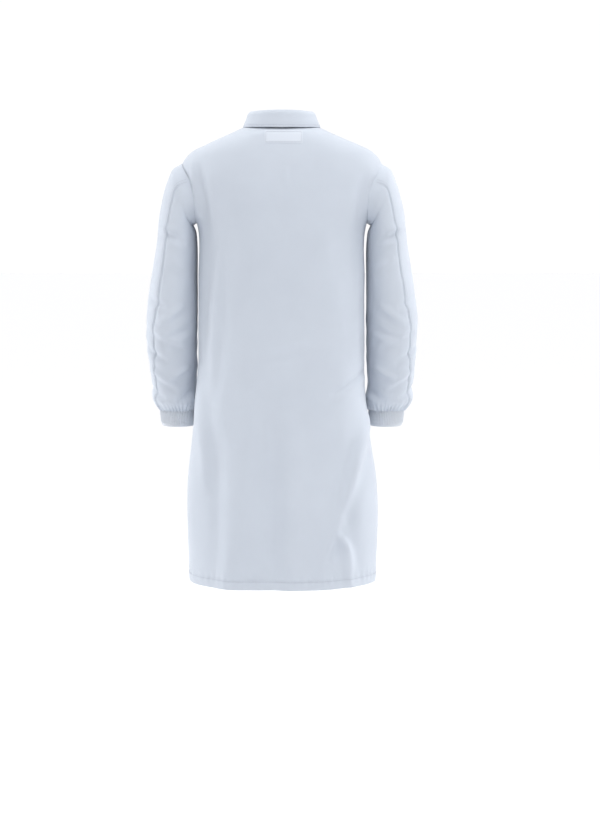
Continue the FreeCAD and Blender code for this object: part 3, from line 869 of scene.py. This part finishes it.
class COAT_OT_neck(bpy.types.Operator):
    """The label patch under the collar, the facing inside the neck and the tape loop"""
    bl_idname = "coat.neck"
    bl_label = "Neck pieces"

    def execute(self, context):
        low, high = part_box("neck_label")
        xs = np.linspace(low[0], high[0], 57)
        zs = np.linspace(high[2], low[2], 20)
        grid = patch(made["back"], xs, zs, True, 0.0007)
        edge_x = np.minimum(xs - xs[0], xs[-1] - xs)[None, :]
        edge_z = np.minimum(zs[0] - zs, zs - zs[-1])[:, None]
        edge = np.minimum(edge_x, edge_z)
        grid[..., 1] += 0.0006 * smooth(edge / 0.004) + 0.00025 * ripple(grid, np.array([60.0] * 3), 4.0)
        piece = cloth("label_patch", grid, turn_over=True, material=woven_label())
        self.face_back(piece)
        thicken(piece, FACING_CLOTH)
        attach(piece, "root")
        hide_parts("neck_label")
        border = [grid[2, 2:-2], grid[2:-2, -3], grid[-3, -3:1:-1], grid[-3:1:-1, 2]]
        path = np.concatenate(border) + np.array([0, 0.0003, 0])
        stitched("label_stitches", path, np.tile([0.0, 1.0, 0.0], (len(path), 1)))
        self.facing()
        self.loop()
        return {"FINISHED"}

    def face_back(self, piece):
        """Turn a patch's faces outwards if they point into the coat."""
        if piece.data.polygons[0].normal.y < 0:
            piece.data.flip_normals()

    def facing(self):
        """The shaped facing sewn inside the back of the neck."""
        grid, normal = made["back_grid"], made["back_normal"]
        rows = grid[:, grid.shape[1] // 2, 2] > -0.048
        inner = grid[rows][:, 25:-25] - normal[rows][:, 25:-25] * 0.0018
        piece = cloth("neck_facing", inner, material=twill())
        thicken(piece, FACING_CLOTH)
        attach(piece, "root")
        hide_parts("back_neck_facing")

    def loop(self):
        """A loop of woven tape, sewn down at both ends."""
        low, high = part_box("hanger_loop")
        middle_y = (low[1] + high[1]) / 2
        half, drop, width = (high[0] - low[0]) / 2, high[2] - low[2], 0.005
        corner = 0.007
        line = [(-half + width / 2, 0.0)]
        turns = np.linspace(math.pi, 1.5 * math.pi, 7)
        reach = half - width / 2
        line += [(-reach + corner + corner * math.cos(a), -drop + width / 2 + corner + corner * math.sin(a))
                 for a in turns]
        line += [(-x, z) for x, z in reversed(line)]
        line = np.array(line)
        tangent = np.gradient(line, axis=0)
        tangent /= np.linalg.norm(tangent, axis=1)[:, None]
        sideways = np.stack([-tangent[:, 1], tangent[:, 0]], axis=1)
        offsets = np.linspace(-width / 2, width / 2, 7)
        grid = np.zeros((len(line), len(offsets), 3))
        for column, offset in enumerate(offsets):
            place = line + sideways * offset
            grid[:, column, 0] = place[:, 0]
            grid[:, column, 1] = middle_y + 0.0004 * math.cos(offset / width * math.pi)
            grid[:, column, 2] = high[2] + place[:, 1]
        piece = cloth("tape_loop", grid, material=woven_label())
        thicken(piece, TAPE_CLOTH, offset=0.0)
        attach(piece, "hanger_loop")
        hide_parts("hanger_loop")


# ---------------------------------------------------------------- sleeves and cuffs

def armhole_ring(turns):
    """The armhole seam on the left of the body, from its back over the top and under the arm."""
    side = [body_ring(s, np.linspace(-1.0, 1.0, 81), squareness(s)) for s in BODY_RINGS[2:8]]
    grid, _ = skin(side, 160)
    points = grid.reshape(-1, 3)
    tall = (ARMHOLE_TOP - ARMHOLE_FOOT) / 2
    ring = np.zeros((len(turns), 3))
    for number, turn in enumerate(turns):
        y = ARMHOLE_Y + ARMHOLE_DEPTH * math.cos(turn)
        z = ARMHOLE_Z + tall * math.sin(turn)
        apart = (points[:, 1] - y) ** 2 + (points[:, 2] - z) ** 2
        near = np.argsort(apart)[:6]
        share = 1 / (apart[near] + 1e-8)
        ring[number] = ((points[near, 0] * share).sum() / share.sum() + 0.0012, y, z)
    return ring


def arm_rise(grid, turns, seed):
    """How far the sleeve cloth stands off its plain shape: folds, the rear seam and unevenness."""
    z = grid[..., 2]
    turn = np.broadcast_to(turns, z.shape)
    rise = np.zeros(z.shape)
    for t0, z0, t1, z1, width, height in ARM_FOLDS:
        middle = (t0 + t1) / 2
        apart = (turn - middle + math.pi) % (2 * math.pi) - math.pi + middle
        rise += fold(apart * 0.06, z, (t0 * 0.06, z0, t1 * 0.06, z1, width, height))
    fine = ripple(grid, np.array([16.0, 16.0, 13.0]), seed)
    rise += 0.0024 * fine * smooth((-0.12 - z) / 0.1)
    rise += 0.0016 * ripple(grid, np.array([30.0, 30.0, 38.0]), seed + 5) * smooth((-0.36 - z) / 0.12)
    gathers = np.sin(turn * 34 + 1.6 * np.sin(turn * 5)) * np.exp(-((z + 0.642) / 0.018) ** 2)
    rise += 0.0019 * gathers
    rise += 0.0050 * np.exp(-((z + 0.618) / 0.016) ** 2)
    seam = np.interp(z, SEAM_LEVELS, SEAM_TURNS)
    beside = (turn - seam) * 0.062
    rise += -0.0020 * np.exp(-(beside / 0.0020) ** 2)
    rise += 0.0009 * smooth(beside / 0.002) * smooth((0.0095 - beside) / 0.002)
    return rise


class COAT_OT_sleeves(bpy.types.Operator):
    """Both sleeves, set in at the armholes and gathered onto the cuffs"""
    bl_idname = "coat.sleeves"
    bl_label = "Sleeves"

    def execute(self, context):
        columns, rows = 150, 236
        turns = np.linspace(0, 2 * math.pi, columns, endpoint=False)
        keys = [armhole_ring(turns)] + [arm_ring(station, turns) for station in ARM_RINGS]
        plain, _ = skin(keys, rows)
        normal = grid_normals(plain, closed=True)
        centre = plain.mean(axis=1, keepdims=True)
        if ((plain - centre) * normal).sum() < 0:
            normal = -normal
        for word, side in (("left", 1), ("right", -1)):
            fixed = smooth((np.arange(rows) - 1) / 14.0)[:, None]
            rise = arm_rise(plain * np.array([side, 1, 1]), turns, 7.0 + 3 * side) * fixed
            roll = 0.0022 * np.exp(-((np.arange(rows) - 9) / 5.0) ** 2)[:, None]
            grid = plain + normal * (rise + roll)[..., None]
            outward = normal.copy()
            if side < 0:
                grid = grid * np.array([-1, 1, 1])
                outward = outward * np.array([-1, 1, 1])
            split = int(np.argmin(np.abs(plain[:, :, 2].mean(axis=1) - ARM_SPLIT)))
            pieces = ((word + "_sleeve_upper", grid[:split + 1]), (word + "_sleeve_lower", grid[split:]))
            for name, part in pieces:
                piece = cloth(name, part, closed=True, turn_over=side < 0, material=twill())
                self.check_outward(piece, part)
                thicken(piece, sizes().cloth)
                if name.endswith("upper"):
                    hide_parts(word + "_sleeve_cap", word + "_upper_sleeve_outer",
                                word + "_upper_sleeve_under")
                    bend_with_shoulder(piece)
                else:
                    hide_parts(word + "_elbow_fold", word + "_fore_sleeve_outer",
                                word + "_fore_sleeve_under")
                    bend_with_elbow(piece)
            self.sew(word, side, grid, outward, turns, split)
        return {"FINISHED"}

    def check_outward(self, piece, part):
        """Turn the faces over if they point into the arm."""
        middle = part.mean(axis=(0, 1))
        total = sum((p.center - Vector(middle)).dot(p.normal) for p in piece.data.polygons)
        if total < 0:
            piece.data.flip_normals()

    def sew(self, word, side, grid, outward, turns, split):
        """Topstitching beside the rear seam."""
        rows = np.arange(2, grid.shape[0] - 4)
        levels = grid[rows].mean(axis=1)[:, 2]
        for number, offset in enumerate((0.045, 0.135)):
            place = (np.interp(levels, SEAM_LEVELS, SEAM_TURNS) + offset) / (2 * math.pi) * len(turns)
            low = np.floor(place).astype(int)
            share = (place - low)[:, None]
            path = grid[rows, low] * (1 - share) + grid[rows, low + 1] * share
            away = outward[rows, low]
            path = path + away * 0.0001
            for half, part in (("upper", rows <= split), ("lower", rows >= split)):
                name = "%s_seam_stitches_%s_%d" % (word, half, number)
                thread = stitches(name, path[part], away[part])
                if half == "upper":
                    bend_with_shoulder(thread)
                else:
                    bend_with_elbow(thread)


class COAT_OT_cuffs(bpy.types.Operator):
    """Rib-knit cuffs"""
    bl_idname = "coat.cuffs"
    bl_label = "Knit cuffs"

    def execute(self, context):
        ribs = sizes().ribs
        columns = ribs * 6
        turns = np.linspace(0, 2 * math.pi, columns, endpoint=False)
        rings = (
            (0.2010, -0.6330, 0.2770, -0.6330, -0.048, 0.0430),
            (0.1985, -0.6460, 0.2785, -0.6460, -0.048, 0.0440),
            (0.1975, -0.6600, 0.2775, -0.6600, -0.049, 0.0435),
            (0.1990, -0.6740, 0.2755, -0.6740, -0.050, 0.0420),
            (0.2005, CUFF_LEVEL + 0.001, 0.2735, CUFF_LEVEL + 0.001, -0.050, 0.0405),
            (0.2040, CUFF_LEVEL + 0.002, 0.2700, CUFF_LEVEL + 0.002, -0.050, 0.0370),
            (0.2045, -0.6700, 0.2695, -0.6700, -0.050, 0.0365),
            (0.2050, -0.6400, 0.2690, -0.6400, -0.049, 0.0365),
        )
        plain, spots = skin([arm_ring(ring, turns) for ring in rings], 44)
        centre = plain.mean(axis=1, keepdims=True)
        away = plain - centre
        away[..., 2] = 0
        away /= np.linalg.norm(away, axis=2, keepdims=True)
        edge = np.abs(spots / spots[-1] - 0.5) * 2
        depth = sizes().rib_rise * smooth(edge / 0.15)[:, None]
        wave = np.sign(np.cos(ribs * turns)) * np.abs(np.cos(ribs * turns)) ** 0.6
        purl = 0.00012 * np.sin(np.arange(44) * 1.9)[:, None]
        grid = plain + away * (depth * wave[None, :] * (spots / spots[-1] < 0.55)[:, None] + purl)[..., None]
        for word, side in (("left", 1), ("right", -1)):
            part = grid * np.array([side, 1, 1])
            piece = cloth(word + "_rib_cuff", part, closed=True, turn_over=side < 0, material=knit())
            lower = [p for p in piece.data.polygons if p.center.z < -0.66 and p.center.x * side > 0.26]
            middle = Vector(part.mean(axis=(0, 1)))
            outer = max(lower, key=lambda p: p.center.x * side)
            if (outer.center - middle).dot(outer.normal) < 0:
                piece.data.flip_normals()
            select_only(piece)
            bpy.ops.object.shade_smooth()
            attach(piece, word + "_forearm")
            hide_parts(word + "_knit_cuff")
        return {"FINISHED"}


# ---------------------------------------------------------------- pockets and snaps

class COAT_OT_pockets(bpy.types.Operator):
    """The chest pocket and both hip pockets"""
    bl_idname = "coat.pockets"
    bl_label = "Pockets"

    def execute(self, context):
        pockets = (("chest_pocket", "left", 1, "root"), ("left_hip_pocket", "left", 1, "left_skirt"),
                   ("right_hip_pocket", "right", -1, "right_skirt"))
        for node, word, side, body in pockets:
            low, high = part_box(node)
            xs = np.linspace(low[0], high[0], 44)
            zs = np.linspace(high[2], low[2], 56)
            grid = patch(made[word + "_front"], xs, zs, False, 0.0010)
            wide = np.minimum(xs - xs[0], xs[-1] - xs)[None, :]
            tall = (zs - zs[-1])[:, None]
            pouch = smooth(wide / 0.03) * smooth(tall / 0.05)
            top = (zs[0] - zs)[:, None]
            grid[..., 1] -= 0.0055 * pouch * (0.35 + 0.65 * np.exp(-(top / 0.06) ** 2))
            grid[..., 1] += 0.0005 * np.exp(-((top - 0.022) / 0.002) ** 2)
            piece = cloth(node + "_cloth", grid, turn_over=False, material=twill())
            if piece.data.polygons[0].normal.y > 0:
                piece.data.flip_normals()
            thicken(piece, sizes().cloth)
            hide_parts(node)
            inset = 3
            down, up = grid[:-inset, inset], grid[-inset::-1, -inset]
            path = np.concatenate([down, grid[-inset, inset:-inset], up])
            path = path - np.array([0, 0.0001, 0])
            thread = stitches(node + "_stitches", path, np.tile([0.0, -1.0, 0.0], (len(path), 1)))
            for thing in (piece, thread):
                if body == "root":
                    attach(thing, "root")
                else:
                    open_with_skirt(thing)
        return {"FINISHED"}


class COAT_OT_snaps(bpy.types.Operator):
    """Finishes on the snaps down the front"""
    bl_idname = "coat.snaps"
    bl_label = "Snaps"

    def execute(self, context):
        enamel = snap_material("snap_enamel", (0.86, 0.87, 0.89), 0.0, 0.28)
        nickel = snap_material("nickel_plate", (0.72, 0.71, 0.69), 1.0, 0.25)
        for half in ("upper", "lower"):
            for kind in ("caps", "sockets", "studs", "rings"):
                material = enamel if kind == "caps" else nickel
                node = bpy.data.objects["snap_%s_%s" % (kind, half)]
                for slot in node.material_slots:
                    slot.material = material
        return {"FINISHED"}


# ---------------------------------------------------------------- stage

class COAT_OT_stage(bpy.types.Operator):
    """The camera, the floor and soft studio light"""
    bl_idname = "coat.stage"
    bl_label = "Stage"

    def execute(self, context):
        stage = context.scene.stage_sizes
        camera = bpy.data.cameras.new("camera")
        camera.lens = stage.lens
        camera.clip_end = 50
        viewer = bpy.data.objects.new("camera", camera)
        viewer.location = (stage.aim_x, stage.camera_back, 0.0)
        aim = Vector((stage.aim_x, 0.0, stage.aim_z)) - viewer.location
        viewer.rotation_euler = aim.to_track_quat("-Z", "Y").to_euler()
        context.collection.objects.link(viewer)
        context.scene.camera = viewer
        context.scene.view_settings.view_transform = "Standard"
        self.floor(stage.floor_level)
        self.world()
        for lamp in LAMPS:
            self.lamp(*lamp)
        return {"FINISHED"}

    def floor(self, level):
        """A wide pale floor."""
        bpy.ops.object.select_all(action="DESELECT")
        bpy.ops.mesh.primitive_plane_add(size=40, location=(0, 0, level))
        floor = bpy.context.object
        floor.name = "studio_floor"
        material = bpy.data.materials.new("studio_floor")
        material.use_nodes = True
        shader = material.node_tree.nodes["Principled BSDF"]
        shader.inputs["Base Color"].default_value = (*colours().floor, 1)
        shader.inputs["Roughness"].default_value = 0.9
        floor.data.materials.append(material)

    def world(self):
        """An even white surround."""
        world = bpy.data.worlds.new("studio")
        world.use_nodes = True
        tree = world.node_tree
        back = tree.nodes["Background"]
        back.inputs["Strength"].default_value = 1.6
        where = tree.nodes.new("ShaderNodeTexCoord")
        parts = tree.nodes.new("ShaderNodeSeparateXYZ")
        ramp = tree.nodes.new("ShaderNodeValToRGB")
        ramp.color_ramp.elements[0].position = 0.0
        ramp.color_ramp.elements[0].color = (0.04, 0.042, 0.046, 1)
        ramp.color_ramp.elements[1].position = 1.0
        ramp.color_ramp.elements[1].color = (1.0, 1.0, 1.0, 1)
        seen = tree.nodes.new("ShaderNodeLightPath")
        plain = tree.nodes.new("ShaderNodeMix")
        plain.data_type = "RGBA"
        plain.inputs["B"].default_value = (0.64, 0.64, 0.64, 1)
        link(tree, where.outputs["Generated"], parts.inputs["Vector"])
        link(tree, parts.outputs["Z"], ramp.inputs["Fac"])
        link(tree, ramp.outputs["Color"], plain.inputs["A"])
        link(tree, seen.outputs["Is Camera Ray"], plain.inputs["Factor"])
        link(tree, plain.outputs["Result"], back.inputs["Color"])
        bpy.context.scene.world = world

    def lamp(self, name, place, size, power):
        """One large soft lamp that faces the coat."""
        light = bpy.data.lights.new(name, "AREA")
        light.shape = "DISK"
        light.size = size
        light.energy = power
        lamp = bpy.data.objects.new(name, light)
        lamp.location = place
        lamp.rotation_euler = (Vector((0, 0, -0.55)) - lamp.location).to_track_quat("-Z", "Y").to_euler()
        bpy.context.collection.objects.link(lamp)


OPERATORS = (COAT_OT_stage, COAT_OT_back, COAT_OT_fronts, COAT_OT_front_bands, COAT_OT_hems,
             COAT_OT_collar, COAT_OT_neck, COAT_OT_sleeves, COAT_OT_cuffs, COAT_OT_pockets, COAT_OT_snaps)


class COAT_PT_panel(bpy.types.Panel):
    """The coat's pieces and sizes"""
    bl_idname = "COAT_PT_panel"
    bl_label = "Lab Coat"
    bl_space_type = "VIEW_3D"
    bl_region_type = "UI"
    bl_category = "Lab Coat"

    def draw(self, context):
        scene = context.scene
        for group in (scene.coat_sizes, scene.coat_colours, scene.stage_sizes):
            box = self.layout.box()
            for name in group.__annotations__:
                box.prop(group, name)
        for operator in OPERATORS:
            self.layout.operator(operator.bl_idname)


GROUPS = (("coat_sizes", CoatSizes), ("coat_colours", CoatColours), ("stage_sizes", StageSizes))


def register():
    """Add the coat's classes and its sizes to Blender."""
    for name, group in GROUPS:
        bpy.utils.register_class(group)
        setattr(bpy.types.Scene, name, PointerProperty(type=group))
    for operator in OPERATORS:
        bpy.utils.register_class(operator)
    bpy.utils.register_class(COAT_PT_panel)


def unregister():
    """Take them away again."""
    bpy.utils.unregister_class(COAT_PT_panel)
    for operator in reversed(OPERATORS):
        bpy.utils.unregister_class(operator)
    for name, group in reversed(GROUPS):
        delattr(bpy.types.Scene, name)
        bpy.utils.unregister_class(group)


def main():
    """Build the coat and its stage."""
    register()
    for operator in OPERATORS:
        section, name = operator.bl_idname.split(".")
        getattr(getattr(bpy.ops, section), name)()
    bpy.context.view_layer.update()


if __name__ == "__main__":
    main()
